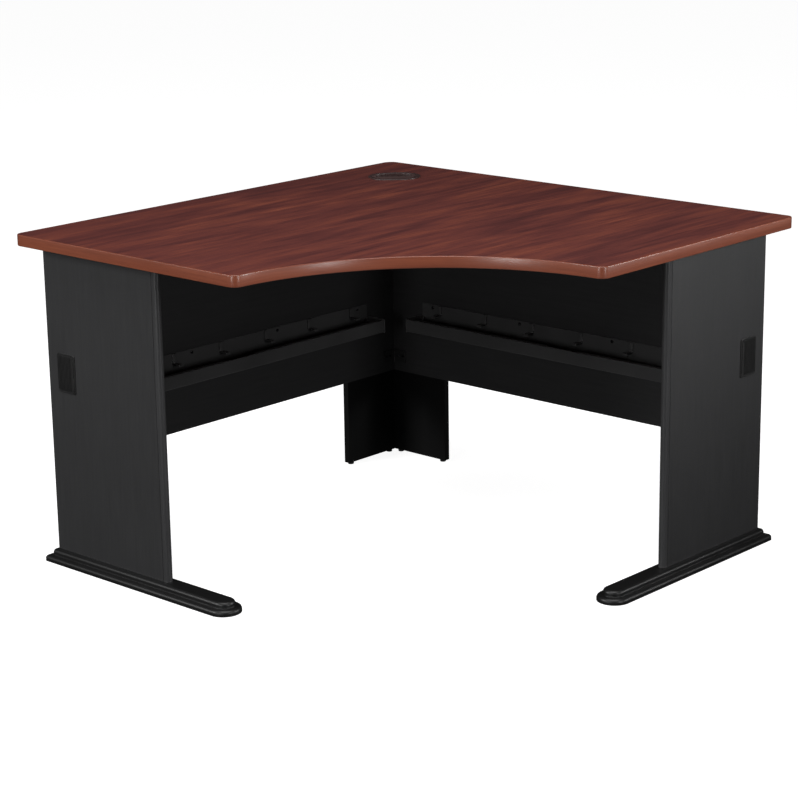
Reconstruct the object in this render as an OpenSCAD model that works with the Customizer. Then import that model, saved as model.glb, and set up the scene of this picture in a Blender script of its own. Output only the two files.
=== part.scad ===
// Corner desk with a concave front edge, two cantilever-footed end panels,
// two modesty panels, an L-shaped corner leg and a wire tray on each wing.
// The model is drawn from its rear corner, right wing along +X and left wing
// along -Y, and then moved so that the origin is the middle of the footprint.
// Most pieces come in pairs that mirror across the desk's diagonal.

/* [Worktop] */
// Length of each wall side of the worktop
desk_size = 1200; // [1150:10:1300]
// Height of the worktop above the floor
desk_h = 750; // [720:5:780]
// Front-to-back depth of each wing at its open end
wing_depth = 686; // [640:2:720]
// Thickness of the worktop board
top_t = 25; // [22:1:28]
// Thickness of the edge band glued round the worktop
band_t = 2; // [1:0.5:3]
// Radius of the two front corners
front_corner_r = 20; // [10:1:30]
// Radius of the rear corner in the room's corner
rear_corner_r = 25; // [10:1:40]
// Radius of the two rear corners at the open ends
end_corner_r = 20; // [10:1:30]

/* [End panels] */
// Distance from the open end of a wing to the outer face of its end panel
panel_inset = 57; // [50:1:80]
// Thickness of the end panels
panel_t = 18; // [16:1:20]
// Distance from the wall line to the rear edge of an end panel
panel_rear = 26; // [20:1:28]
// Distance from the wall line to the front of the end panel's nosing
panel_front = 389; // [370:1:420]
// Depth of the rounded nosing on the front edge
nosing_depth = 15; // [12:1:20]

/* [Modesty panels and corner leg] */
// Thickness of the modesty panels and the corner leg boards
back_t = 16; // [15:1:17]
// Distance from the wall line to the front face of a modesty panel
modesty_front = 44; // [42:1:48]
// Height of the lower edge of the modesty panels
modesty_bottom = 223; // [180:1:250]
// Distance from the wall line to the free edge of a corner leg board
leg_reach = 200; // [185:1:240]
// Height of the glides under the corner leg
glide_h = 6; // [4:1:8]

/* [Feet] */
// Width of a foot
foot_w = 75; // [70:1:85]
// Distance from the wall line to the rear end of a foot
foot_rear = 6; // [2:1:10]
// Distance from the wall line to the rounded tip of a foot
foot_front = 590; // [560:1:620]
// Height of the top of the lower step
foot_step_z = 15; // [14:0.5:16]
// Height of the flat top that carries the end panel
foot_top_z = 28.5; // [28:0.5:32]
// Gap between the rim of a foot and the floor
foot_gap = 1.5; // [1:0.5:2]

/* [Levellers] */
// Diameter of a leveller's pad
pad_d = 34; // [28:1:40]
// Height of a leveller's pad
pad_h = 5; // [4:0.5:5]
// Diameter of a leveller's threaded stem
stem_d = 8; // [6:1:8]

/* [Wire trays] */
// Distance from the other wall line to the tray's capped end
tray_start = 145; // [130:1:180]
// Distance from the wall line to the tray's front face
tray_front = 105; // [100:1:125]
// Height of the underside of the tray
tray_z = 349; // [330:1:380]
// Height of the tray's front lip
lip_h = 32; // [28:1:40]
// Height of the tray's rear flange
flange_h = 64; // [56:1:76]
// Width of the in-turned edge along the top of the lip
return_w = 12; // [8:1:16]
// Wall thickness of the tray
tray_wall = 2; // [1.5:0.5:2.5]

/* [Grommet] */
// Distance from each wall line to the middle of the grommet
grommet_at = 165; // [150:1:200]
// Length of the grommet's flange
grommet_l = 127; // [115:1:140]
// Width of the grommet's flange
grommet_w = 100; // [90:1:110]

/* [Cable covers] */
// Width of a cable cover's frame
frame_w = 58; // [50:1:70]
// Height of a cable cover's frame
frame_h = 88; // [80:1:100]
// Distance from the wall line to the middle of a cable cover
cover_v = 86; // [80:1:110]
// Height of the middle of a cable cover
cover_z = 442; // [430:1:460]

/* [Hidden] */
CHERRY = "#6a382f";
CHERRY_EDGE = "#85503c";
CHARCOAL = "#2d2d2f";
BLACK = "#17171a";
STEEL = "#b4b7ba";
BEECH = "#c9a878";

// Fit between a fixing and its hole, on the radius
fit = 0.05;
// Gap between pieces that move apart, on each side
slip = 0.3;
under_top = desk_h - top_t;
panel_out = desk_size - panel_inset;
panel_in = panel_out - panel_t;
panel_mid = panel_out - panel_t / 2;
board_front = panel_front - nosing_depth;
modesty_rear = modesty_front - back_t;
modesty_mid = modesty_front - back_t / 2;
leg_rear = modesty_rear - back_t;
arc_r = desk_size - wing_depth;

// Cam lock and its bolt: 15 mm housing, 34 mm from the joint
cam_r = 7.4;
cam_depth = 12.5;
cam_set = 34;
cam_slot = [9, 3, 1.6];
bolt_r = 3.4;
thread_r = 2.5;
thread_l = 11;
dowel_r = 4;
dowel_l = 27;
dowel_in_top = 11;
panel_cams_v = [75, 345];
panel_dowels_v = [125, 295];
modesty_top_cams_u = [260, 600, 940];
modesty_end_cams_z = [300, 640];

// Wood screws
screw_r = 1.9;
leg_screws_u = [75, 165];
leg_screws_z = [290, 480, 670];
leg_screw_l = 28;
tray_screws_u = [180, 460, 739, 1020];
tray_screw_z = tray_z + flange_h - 8;
small_screw_l = 12;
pan_r = 4;
pan_h = 2.2;
sink_r = 4;
sink_h = 2.6;

// Corner brackets
bracket_leg = 40;
bracket_w = 30;
bracket_t = 2;
brackets_z = [262, 650];
bracket_holes = [18, 32];

// End panel details
tongue_t = 3;
tongue_depth = 8;

// Glides under the corner leg
glides_u = [leg_rear + 30, leg_reach - 14];
glide_r = 7.5;
glide_pin_r = 1.5;
glide_pin_l = 12;

// Foot details
foot_edge_r = 8;
upper_step_side = 13.5;
upper_step_rear = 12;
upper_step_front = 14;
foot_wall = 4;
foot_pocket_r = 6;
rib_t = 2.5;
foot_pocket_z = 11;
foot_bolts_v = [127, 322];
foot_bolt_r = 3;
foot_bolt_l = 48;
foot_head_r = 6;
foot_head_h = 4;
hex_key_r = 2.5;
insert_r = 6.9;
insert_z = [12, 26];
levellers_v = [52, 541];
pad_rim_h = 1.5;
pad_slope = 6;
stem_top = 25.5;
socket_r = 4.5;
socket_z = 2;
collar_r = 7.5;
collar_z = [6, 10];
ribs_v = [for (v = [95 : 65 : 485]) v];

// Tray details
tray_end = panel_in - 2;
notch_u = [582, 684];
notch_slant = 14;
clips_u = [for (k = [0 : 5]) 202 + 148 * k];
clip_w = 14;
clip_h = 24;
clip_t = 2.5;
clip_reach = 24;
clip_finger_t = 2;
clip_hook = 4;
cap_t = 2.5;
cap_edge = 1.5;
cap_tab_l = 8;
cap_tab_t = 2;

// Grommet details
grommet_rim = 7;
grommet_rise = 2.5;
grommet_wall = 2;
grommet_ledge = 3;
hole_l = grommet_l - 2 * grommet_rim;
hole_w = grommet_w - 2 * grommet_rim;
sleeve_l = hole_l - 2 * slip;
sleeve_w = hole_w - 2 * slip;
well_l = sleeve_l - 2 * grommet_wall;
well_w = sleeve_w - 2 * grommet_wall;
lid_t = 3.5;
lid_drop = 0.8;
lid_z = desk_h + grommet_rise - lid_drop - lid_t;
cable_slot_w = 86;
cable_slot_d = 44;
finger_r = 9;
finger_shift = 4;

// Cable cover details
bezel = 3;
bezel_t = 2;
bezel_lap = 1.5;
cutout_w = frame_w - 2 * bezel_lap;
cutout_h = frame_h - 2 * bezel_lap;
pocket_w = frame_w - 2 * bezel;
pocket_h = frame_h - 2 * bezel;
frame_wall = 2;
cover_t = 2;
cover_ribs = 9;
rib_pitch = 4.4;
rib_w = 2.2;
rib_h = 1.2;
grip_w = 7;

// ---- Placing -------------------------------------------------------------

// Moves the rear corner from the origin to its place in the desk's own frame
module at_corner() {
    translate([-desk_size / 2, desk_size / 2, 0]) children();
}

// The right wing's pieces as drawn
module right_side() {
    at_corner() children();
}

// The same pieces mirrored across the diagonal, for the left wing
module left_side() {
    at_corner() mirror([1, 1, 0]) children();
}

module both_sides() {
    right_side() children();
    left_side() children();
}

// Grommet frame: X along its length, +Y towards the rear corner
module at_grommet() {
    at_corner() translate([grommet_at, -grommet_at, 0]) rotate([0, 0, 45]) children();
}

// ---- Worktop -------------------------------------------------------------

// Waste outside a round corner whose centre is r inside both edges
module corner_waste(r, inset) {
    difference() {
        square(r + 1);
        circle(r - inset, $fn = 64);
    }
}

// Waste at one front corner, tangent to the end edge and to the concave arc
module front_waste(inset) {
    r = front_corner_r;
    rise = sqrt(pow(arc_r + r, 2) - r * r);
    touch = r * (arc_r + inset) / (arc_r + r);
    difference() {
        translate([desk_size - touch, -desk_size]) square([touch + 1, rise]);
        translate([desk_size - r, rise - desk_size]) circle(r - inset, $fn = 64);
    }
}

module wing_waste(inset) {
    front_waste(inset);
    translate([desk_size - end_corner_r, -end_corner_r]) corner_waste(end_corner_r, inset);
}

// Outline of the worktop, drawn inset millimetres inside its finished edge
module top_outline(inset) {
    side = desk_size - 2 * inset;
    difference() {
        translate([inset, inset - desk_size]) square(side);
        translate([desk_size, -desk_size]) circle(arc_r + inset, $fn = 180);
        wing_waste(inset);
        mirror([1, 1]) wing_waste(inset);
        translate([rear_corner_r, -rear_corner_r]) rotate(90) corner_waste(rear_corner_r, inset);
    }
}

// Obround outline, centred
module obround(l, w) {
    translate([(w - l) / 2, -w / 2]) square([l - w, w]);
    translate([(w - l) / 2, 0]) circle(d = w, $fn = 64);
    translate([(l - w) / 2, 0]) circle(d = w, $fn = 64);
}

module obround_bar(l, w, z0, z1) {
    translate([0, 0, z0]) linear_extrude(z1 - z0) obround(l, w);
}

module worktop() color(CHERRY) {
    difference() {
        at_corner() translate([0, 0, under_top]) linear_extrude(top_t) top_outline(band_t);
        at_grommet() obround_bar(hole_l, hole_w, under_top - 1, desk_h + 1);
        both_sides() {
            top_cam_places() bolt_pilot();
            dowel_places() dowel_shape(fit);
        }
    }
}

module edge_band() color(CHERRY_EDGE) {
    at_corner() translate([0, 0, under_top]) linear_extrude(top_t) difference() {
        top_outline(0);
        top_outline(band_t);
    }
}

// ---- Grommet -------------------------------------------------------------

// Flanged sleeve with an inner ledge that the lid rests on
module grommet_liner() color(BLACK) {
    at_grommet() difference() {
        union() {
            obround_bar(grommet_l, grommet_w, desk_h, desk_h + grommet_rise);
            obround_bar(sleeve_l, sleeve_w, under_top - 3, desk_h);
        }
        obround_bar(well_l, well_w, lid_z, desk_h + grommet_rise + 1);
        obround_bar(well_l - 2 * grommet_ledge, well_w - 2 * grommet_ledge, under_top - 4, lid_z + 1);
    }
}

// Lift-out lid with a cable slot along its rear edge and a finger notch at each end
module grommet_lid() color(BLACK) {
    at_grommet() difference() {
        obround_bar(well_l - 2 * slip, well_w - 2 * slip, lid_z, lid_z + lid_t);
        translate([-cable_slot_w / 2, well_w / 2 - cable_slot_d, lid_z - 1])
            cube([cable_slot_w, cable_slot_d + 1, lid_t + 2]);
        for (s = [-1, 1]) translate([s * well_l / 2, -finger_shift, lid_z - 1])
            cylinder(r = finger_r, h = lid_t + 2, $fn = 48);
    }
}

// ---- Fixings -------------------------------------------------------------

// A cam fixing is drawn with the joint at z = 0, its bolt standing up into
// the other board, and the cam let into the face on the +Y side.
module cam_places_panel() {
    for (v = panel_cams_v)
        translate([panel_mid, -v, under_top]) rotate([0, 0, 90]) children();
}

module cam_places_modesty_top() {
    for (u = modesty_top_cams_u)
        translate([u, -modesty_mid, under_top]) children();
}

module cam_places_modesty_end() {
    for (z = modesty_end_cams_z)
        translate([panel_in, -modesty_mid, z]) rotate([0, 90, 0]) children();
}

module top_cam_places() {
    cam_places_panel() children();
    cam_places_modesty_top() children();
}

module dowel_places() {
    for (v = panel_dowels_v)
        translate([panel_mid, -v, under_top]) children();
}

module cam_hole(board_t) {
    translate([0, board_t / 2 + 0.01, -cam_set]) rotate([90, 0, 0])
        cylinder(r = cam_r + fit, h = cam_depth, $fn = 48);
    translate([0, 0, -cam_set]) cylinder(r = bolt_r + fit, h = cam_set + 1, $fn = 32);
}

module bolt_pilot() {
    translate([0, 0, -1]) cylinder(r = thread_r + fit, h = thread_l + 1.5, $fn = 32);
}

module cam_lock(board_t) {
    translate([0, board_t / 2, -cam_set]) difference() {
        rotate([90, 0, 0]) cylinder(r = cam_r, h = cam_depth - 0.2, $fn = 48);
        translate([0, -board_t / 2, 0]) cylinder(r = bolt_r + fit, h = cam_r + 1, $fn = 32);
        for (a = [0, 90]) rotate([0, a, 0]) cube(cam_slot, center = true);
    }
}

module cam_bolt() {
    translate([0, 0, 1 - cam_set]) cylinder(r = bolt_r, h = cam_set - 1, $fn = 32);
    cylinder(r = thread_r, h = thread_l, $fn = 32);
}

module dowel_shape(extra) {
    translate([0, 0, dowel_in_top - dowel_l - 5 * extra])
        cylinder(r = dowel_r + extra, h = dowel_l + 10 * extra, $fn = 32);
}

module cam_locks() color(STEEL) both_sides() {
    cam_places_panel() cam_lock(panel_t);
    cam_places_modesty_top() cam_lock(back_t);
    cam_places_modesty_end() cam_lock(back_t);
}

module cam_bolts() color(STEEL) both_sides() {
    top_cam_places() cam_bolt();
    cam_places_modesty_end() cam_bolt();
}

module dowels() color(BEECH) both_sides() {
    dowel_places() dowel_shape(0);
}

// Pan-head screw along +Y, seated at y = 0
module pan_screw() {
    rotate([90, 0, 0]) cylinder(r = pan_r, h = pan_h, $fn = 32);
    rotate([-90, 0, 0]) cylinder(r = screw_r, h = small_screw_l, $fn = 24);
}

module screw_hole(l, extra) {
    rotate([-90, 0, 0]) translate([0, 0, -extra])
        cylinder(r = screw_r + fit, h = l + extra + 0.5, $fn = 24);
}

// ---- End panels ----------------------------------------------------------

// Groove in the board's front edge for the nosing's tongue
module nosing_groove() {
    w = tongue_t + 2 * fit;
    translate([panel_mid - w / 2, -board_front - 0.01, foot_top_z - 1])
        cube([w, tongue_depth + 1, under_top - foot_top_z + 2]);
}

module end_panel() {
    difference() {
        translate([panel_in, -board_front, foot_top_z])
            cube([panel_t, board_front - panel_rear, under_top - foot_top_z]);
        translate([panel_in - 1, -cover_v - cutout_w / 2, cover_z - cutout_h / 2])
            cube([panel_t + 2, cutout_w, cutout_h]);
        nosing_groove();
        cam_places_panel() cam_hole(panel_t);
        cam_places_modesty_end() bolt_pilot();
        dowel_places() dowel_shape(fit);
        foot_bolt_places() foot_bolt_hole();
    }
}

// Half-round nosing with a tongue
module panel_nosing() {
    translate([0, 0, foot_top_z]) linear_extrude(under_top - foot_top_z) {
        intersection() {
            union() {
                translate([panel_in, -panel_front + panel_t / 2]) square([panel_t, nosing_depth]);
                translate([panel_mid, -panel_front + panel_t / 2]) circle(d = panel_t, $fn = 64);
            }
            translate([panel_in, -panel_front]) square([panel_t, nosing_depth]);
        }
        translate([panel_mid - tongue_t / 2, -board_front - 1]) square([tongue_t, tongue_depth + 1]);
    }
}

module right_end_panel() color(CHARCOAL) right_side() end_panel();
module left_end_panel() color(CHARCOAL) left_side() end_panel();
module right_panel_nosing() color(CHARCOAL) right_side() panel_nosing();
module left_panel_nosing() color(CHARCOAL) left_side() panel_nosing();

// ---- Cable covers --------------------------------------------------------

// Block centred on the cable cover, from x0 to x1
module cover_block(w, h, x0, x1) {
    translate([x0, -cover_v - w / 2, cover_z - h / 2]) cube([x1 - x0, w, h]);
}

// Bezel and sleeve pressed into the end panel's cut-out
module cover_frame() {
    seat = panel_out - cover_t;
    sleeve_wide = cutout_w - 2 * slip;
    sleeve_high = cutout_h - 2 * slip;
    difference() {
        union() {
            cover_block(frame_w, frame_h, panel_out, panel_out + bezel_t);
            cover_block(sleeve_wide, sleeve_high, panel_in, panel_out + 0.5);
        }
        cover_block(pocket_w, pocket_h, seat, panel_out + bezel_t + 1);
        cover_block(pocket_w - 2 * frame_wall, pocket_h - 2 * frame_wall, panel_in - 1, seat + 1);
    }
}

// Ribbed plate that pulls out of the frame, with a smooth grip bar at the front
module cable_cover() {
    w = pocket_w - 2 * slip;
    h = pocket_h - 2 * slip;
    face = panel_out + bezel_t - 0.8;
    cover_block(w, h, panel_out - cover_t, face);
    for (k = [0 : cover_ribs - 1])
        translate([face, -cover_v + w / 2 - (k + 0.5) * rib_pitch - rib_w, cover_z - h / 2 + 2])
            cube([rib_h, rib_w, h - 4]);
    translate([face, -cover_v - w / 2 + 1, cover_z - h / 2 + 1]) cube([2 * rib_h, grip_w, h - 2]);
}

module right_cover_frame() color(BLACK) right_side() cover_frame();
module left_cover_frame() color(BLACK) left_side() cover_frame();
module right_cable_cover() color(BLACK) right_side() cable_cover();
module left_cable_cover() color(BLACK) left_side() cable_cover();

// ---- Modesty panels, corner leg and brackets -----------------------------

module leg_screw_places() {
    for (u = leg_screws_u, z = leg_screws_z)
        translate([u, -leg_rear, z]) rotate([0, 0, 180]) children();
}

// Screw holes along a bracket's leg, on the face of a modesty panel
module bracket_screw_places() {
    for (u = bracket_holes, z = brackets_z)
        translate([modesty_front + u, -modesty_front - bracket_t, z]) children();
}

module tray_screw_places() {
    for (u = tray_screws_u)
        translate([u, -modesty_front - tray_wall, tray_screw_z]) children();
}

// The panel runs from start, along its own wall, to the end panel
module modesty_panel(start) {
    difference() {
        translate([start, -modesty_front, modesty_bottom])
            cube([panel_in - start, back_t, under_top - modesty_bottom]);
        cam_places_modesty_top() cam_hole(back_t);
        cam_places_modesty_end() cam_hole(back_t);
        leg_screw_places() screw_hole(leg_screw_l, 0);
        bracket_screw_places() screw_hole(small_screw_l, 0);
        tray_screw_places() screw_hole(small_screw_l, 0);
    }
}

module corner_leg(start) {
    difference() {
        translate([start, -modesty_rear, glide_h])
            cube([leg_reach - start, back_t, under_top - glide_h]);
        leg_screw_places() {
            screw_hole(leg_screw_l, 1);
            countersink(fit);
        }
        glide_places() glide_pin(fit);
    }
}

// Countersunk head, its flat face at y = 0
module countersink(extra) {
    rotate([-90, 0, 0]) translate([0, 0, -extra])
        cylinder(r1 = sink_r + 2 * extra, r2 = screw_r + extra, h = sink_h + extra, $fn = 32);
}

module leg_screws() color(STEEL) both_sides() {
    leg_screw_places() {
        countersink(0);
        rotate([-90, 0, 0]) cylinder(r = screw_r, h = leg_screw_l, $fn = 24);
    }
}

module glide_places() {
    for (u = glides_u)
        translate([u, -modesty_rear + back_t / 2, 0]) children();
}

module glide_pin(extra) {
    cylinder(r = glide_pin_r + extra, h = glide_h + glide_pin_l, $fn = 24);
}

// Nail-on glide: a domed disc on a steel pin
module corner_leg_glides() color(BLACK) both_sides() {
    glide_places() {
        cylinder(r1 = glide_r - 1, r2 = glide_r, h = glide_h / 3, $fn = 48);
        translate([0, 0, glide_h / 3]) cylinder(r = glide_r, h = glide_h * 2 / 3, $fn = 48);
        glide_pin(0);
    }
}

module bracket_plate() {
    for (z = brackets_z) translate([modesty_front, -modesty_front - bracket_t, z - bracket_w / 2])
        cube([bracket_leg, bracket_t, bracket_w]);
}

module corner_brackets() color(BLACK) {
    difference() {
        union() {
            right_side() bracket_plate();
            left_side() bracket_plate();
        }
        right_side() bracket_screw_places() screw_hole(small_screw_l, 1);
        left_side() bracket_screw_places() screw_hole(small_screw_l, 1);
    }
}

module bracket_screws() color(STEEL) both_sides() {
    bracket_screw_places() pan_screw();
}

module right_modesty_panel() color(CHARCOAL) right_side() modesty_panel(modesty_front);
module left_modesty_panel() color(CHARCOAL) left_side() modesty_panel(modesty_rear);
module right_corner_leg() color(CHARCOAL) right_side() corner_leg(modesty_rear);
module left_corner_leg() color(CHARCOAL) left_side() corner_leg(leg_rear);

// ---- Wire trays ----------------------------------------------------------

// Section of the tray, seen along the wing: X is the distance from the wall
module tray_section() {
    w = tray_wall;
    depth = tray_front - modesty_front;
    square([depth, w]);
    square([w, flange_h]);
    translate([depth - w, 0]) square([w, lip_h]);
    translate([depth - return_w, lip_h - w]) square([return_w, w]);
}

// Extrudes a section along the wing from u0 to u1
module along_wing(u0, u1) {
    translate([u1, -modesty_front, tray_z]) rotate([90, 0, -90]) linear_extrude(u1 - u0) children();
}

// The in-turned edge is cut away with slanted ends so cables can drop in
module wire_tray() {
    depth = tray_front - modesty_front;
    difference() {
        along_wing(tray_start, tray_end) tray_section();
        translate([0, -modesty_front - depth + tray_wall, tray_z + lip_h - tray_wall - 0.5])
            linear_extrude(tray_wall + 1) polygon([
                [notch_u[0] + notch_slant, 0],
                [notch_u[1] - notch_slant, 0],
                [notch_u[1], return_w],
                [notch_u[0], return_w]]);
        tray_screw_places() screw_hole(small_screw_l, 1);
    }
}

// Cap pushed over the tray's free end
module tray_end_cap() {
    depth = tray_front - modesty_front;
    translate([tray_start - cap_t, -tray_front - cap_edge, tray_z - cap_edge])
        cube([cap_t, depth + cap_edge, lip_h + 2 * cap_edge]);
    for (v = [modesty_front + tray_wall + 3, tray_front - tray_wall - 1])
        translate([tray_start, -v, tray_z + tray_wall + 0.1])
            cube([cap_tab_l, cap_tab_t, lip_h - 2 * tray_wall - 1]);
}

// Fingers riveted to the rear flange that hold the cables down
module tray_clips() {
    top = tray_z + flange_h - 1;
    low = top - clip_h;
    back = modesty_front + tray_wall;
    for (u = clips_u) translate([u - clip_w / 2, 0, 0]) {
        translate([0, -back - clip_t, low]) cube([clip_w, clip_t, clip_h]);
        translate([0, -back - clip_reach, low]) cube([clip_w, clip_reach - 1, clip_finger_t]);
        translate([0, -back - clip_reach, low - clip_hook]) cube([clip_w, clip_finger_t, clip_hook + 1]);
    }
}

module right_wire_tray() color(BLACK) right_side() wire_tray();
module left_wire_tray() color(BLACK) left_side() wire_tray();
module right_tray_end_cap() color(BLACK) right_side() tray_end_cap();
module left_tray_end_cap() color(BLACK) left_side() tray_end_cap();
module right_tray_clips() color(BLACK) right_side() tray_clips();
module left_tray_clips() color(BLACK) left_side() tray_clips();

module tray_screws() color(STEEL) both_sides() {
    tray_screw_places() pan_screw();
}

// ---- Feet and levellers --------------------------------------------------

// Disc whose upper edge is rounded to radius edge
module puck(r, h, edge) {
    rotate_extrude($fn = 48) intersection() {
        union() {
            square([r, h - edge]);
            square([r - edge, h]);
            translate([r - edge, h - edge]) circle(edge, $fn = 32);
        }
        square([r, h]);
    }
}

// One step of the foot: half-round at the front, small corners at the rear
module foot_step(w, rear, front, z0, z1) {
    corner = foot_edge_r + 1;
    h = z1 - z0;
    translate([panel_mid, 0, z0]) hull() {
        translate([0, -front + w / 2, 0]) puck(w / 2, h, foot_edge_r);
        for (s = [-1, 1]) translate([s * (w / 2 - corner), -rear - corner, 0])
            puck(corner, h, foot_edge_r);
    }
}

module foot_pocket() {
    w = foot_w - 2 * foot_wall;
    r = foot_pocket_r;
    h = foot_pocket_z - foot_gap + 1;
    translate([panel_mid, 0, foot_gap - 1]) hull() {
        translate([0, -foot_front + foot_wall + w / 2, 0]) cylinder(r = w / 2, h = h, $fn = 48);
        for (s = [-1, 1]) translate([s * (w / 2 - r), -foot_rear - foot_wall - r, 0])
            cylinder(r = r, h = h, $fn = 32);
    }
}

module foot_bolt_places() {
    for (v = foot_bolts_v) translate([panel_mid, -v, foot_pocket_z]) children();
}

module foot_bolt_hole() {
    translate([0, 0, -0.5]) cylinder(r = foot_bolt_r + fit, h = foot_bolt_l + 1, $fn = 32);
}

module leveller_places() {
    for (v = levellers_v) translate([panel_mid, -v, 0]) children();
}

module foot() {
    difference() {
        union() {
            difference() {
                union() {
                    foot_step(foot_w, foot_rear, foot_front, foot_gap, foot_step_z);
                    foot_step(foot_w - 2 * upper_step_side, foot_rear + upper_step_rear,
                        foot_front - upper_step_front, foot_step_z - 1, foot_top_z);
                }
                foot_pocket();
            }
            for (v = ribs_v)
                translate([panel_mid - foot_w / 2 + foot_wall - 1, -v - rib_t / 2, foot_gap + 1])
                    cube([foot_w - 2 * foot_wall + 2, rib_t, foot_pocket_z - foot_gap]);
        }
        foot_bolt_places() foot_bolt_hole();
        leveller_places() translate([0, 0, foot_pocket_z - 1])
            cylinder(r = insert_r + fit, h = insert_z[1] + 0.1 - foot_pocket_z + 1, $fn = 48);
    }
}

module right_foot() color(BLACK) right_side() foot();
module left_foot() color(BLACK) left_side() foot();

module foot_bolts() color(STEEL) both_sides() {
    foot_bolt_places() {
        cylinder(r = foot_bolt_r, h = foot_bolt_l, $fn = 32);
        translate([0, 0, -foot_head_h]) difference() {
            cylinder(r = foot_head_r, h = foot_head_h, $fn = 48);
            translate([0, 0, -1]) cylinder(r = hex_key_r, h = foot_head_h - 0.5, $fn = 6);
        }
    }
}

// Threaded inserts that the leveller stems turn in
module foot_inserts() color(STEEL) both_sides() {
    leveller_places() translate([0, 0, insert_z[0]]) difference() {
        cylinder(r = insert_r, h = insert_z[1] - insert_z[0], $fn = 48);
        translate([0, 0, -1]) cylinder(r = stem_d / 2 + fit, h = insert_z[1], $fn = 48);
    }
}

// Pad with a socket for the stem's ball end
module pad(v) {
    r = pad_d / 2;
    translate([panel_mid, -v, 0]) difference() {
        union() {
            cylinder(r1 = r - 1, r2 = r, h = pad_rim_h, $fn = 64);
            translate([0, 0, pad_rim_h])
                cylinder(r1 = r, r2 = r - pad_slope, h = pad_h - pad_rim_h, $fn = 64);
        }
        translate([0, 0, socket_z - 0.2]) cylinder(r = socket_r + 0.08, h = pad_h, $fn = 48);
    }
}

// Threaded stem with a spanner collar and a journal in the pad
module stem(v) {
    translate([panel_mid, -v, 0]) {
        translate([0, 0, socket_z]) cylinder(r = socket_r, h = collar_z[0] - socket_z, $fn = 48);
        translate([0, 0, collar_z[0]]) cylinder(r = collar_r, h = collar_z[1] - collar_z[0], $fn = 6);
        translate([0, 0, collar_z[1]]) cylinder(r = stem_d / 2, h = stem_top - collar_z[1], $fn = 48);
    }
}

module right_rear_pad() color(BLACK) right_side() pad(levellers_v[0]);
module right_front_pad() color(BLACK) right_side() pad(levellers_v[1]);
module left_rear_pad() color(BLACK) left_side() pad(levellers_v[0]);
module left_front_pad() color(BLACK) left_side() pad(levellers_v[1]);
module right_rear_stem() color(STEEL) right_side() stem(levellers_v[0]);
module right_front_stem() color(STEEL) right_side() stem(levellers_v[1]);
module left_rear_stem() color(STEEL) left_side() stem(levellers_v[0]);
module left_front_stem() color(STEEL) left_side() stem(levellers_v[1]);

worktop();
edge_band();
grommet_liner();
grommet_lid();
right_end_panel();
left_end_panel();
right_panel_nosing();
left_panel_nosing();
right_cover_frame();
left_cover_frame();
right_cable_cover();
left_cable_cover();
right_modesty_panel();
left_modesty_panel();
right_corner_leg();
left_corner_leg();
corner_leg_glides();
corner_brackets();
bracket_screws();
leg_screws();
right_wire_tray();
left_wire_tray();
right_tray_end_cap();
left_tray_end_cap();
right_tray_clips();
left_tray_clips();
tray_screws();
right_foot();
left_foot();
foot_bolts();
foot_inserts();
right_rear_pad();
right_front_pad();
left_rear_pad();
left_front_pad();
right_rear_stem();
right_front_stem();
left_rear_stem();
left_front_stem();
cam_locks();
cam_bolts();
dowels();
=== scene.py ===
# Looks of the corner desk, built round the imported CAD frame. Metres throughout.
# A wing's own coordinates are u along its wall, v away from that wall and z up.
import math

import bmesh
import bpy
import numpy as np
from mathutils import Matrix, Vector


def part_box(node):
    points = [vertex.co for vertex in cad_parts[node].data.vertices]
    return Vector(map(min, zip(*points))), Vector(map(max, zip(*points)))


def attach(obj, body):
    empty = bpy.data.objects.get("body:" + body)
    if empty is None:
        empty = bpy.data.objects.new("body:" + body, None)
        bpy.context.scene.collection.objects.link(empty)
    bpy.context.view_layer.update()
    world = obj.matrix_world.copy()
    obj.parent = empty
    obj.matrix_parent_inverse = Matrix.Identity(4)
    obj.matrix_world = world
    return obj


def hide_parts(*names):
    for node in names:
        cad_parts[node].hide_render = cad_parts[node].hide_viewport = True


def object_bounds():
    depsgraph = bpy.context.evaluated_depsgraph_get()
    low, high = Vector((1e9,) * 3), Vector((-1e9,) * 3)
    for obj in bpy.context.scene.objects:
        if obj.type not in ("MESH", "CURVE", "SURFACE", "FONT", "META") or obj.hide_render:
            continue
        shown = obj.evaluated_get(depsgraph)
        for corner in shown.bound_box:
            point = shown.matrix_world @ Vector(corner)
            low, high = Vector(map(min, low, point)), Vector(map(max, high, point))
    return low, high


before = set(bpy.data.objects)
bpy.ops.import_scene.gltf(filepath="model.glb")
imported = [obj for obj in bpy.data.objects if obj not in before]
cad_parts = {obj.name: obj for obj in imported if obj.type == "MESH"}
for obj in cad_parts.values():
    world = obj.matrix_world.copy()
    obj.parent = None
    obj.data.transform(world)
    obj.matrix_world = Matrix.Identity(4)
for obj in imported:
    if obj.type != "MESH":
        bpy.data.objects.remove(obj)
cad_low, cad_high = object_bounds()

# ---- Worktop -------------------------------------------------------------------
# A 25 mm particleboard faced with satin cherry-pattern laminate. The printed
# grain runs along the left wing in long red and purple-brown streaks, with the
# faint pores of the print pressed into the face.


def add_node(tree, kind, sockets=None, **settings):
    """A shader node. sockets gives each input a value, or the output socket it is linked to. Inputs that
    share a name go by number: a Mix has its factor at 0, its numbers at 2 and 3 and its colours at 6
    and 7."""
    node = tree.nodes.new("ShaderNode" + kind)
    for key, value in settings.items():
        setattr(node, key, value)
    for key, value in (sockets or {}).items():
        if isinstance(value, bpy.types.NodeSocket):
            tree.links.new(value, node.inputs[key])
        else:
            node.inputs[key].default_value = value
    return node


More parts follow.
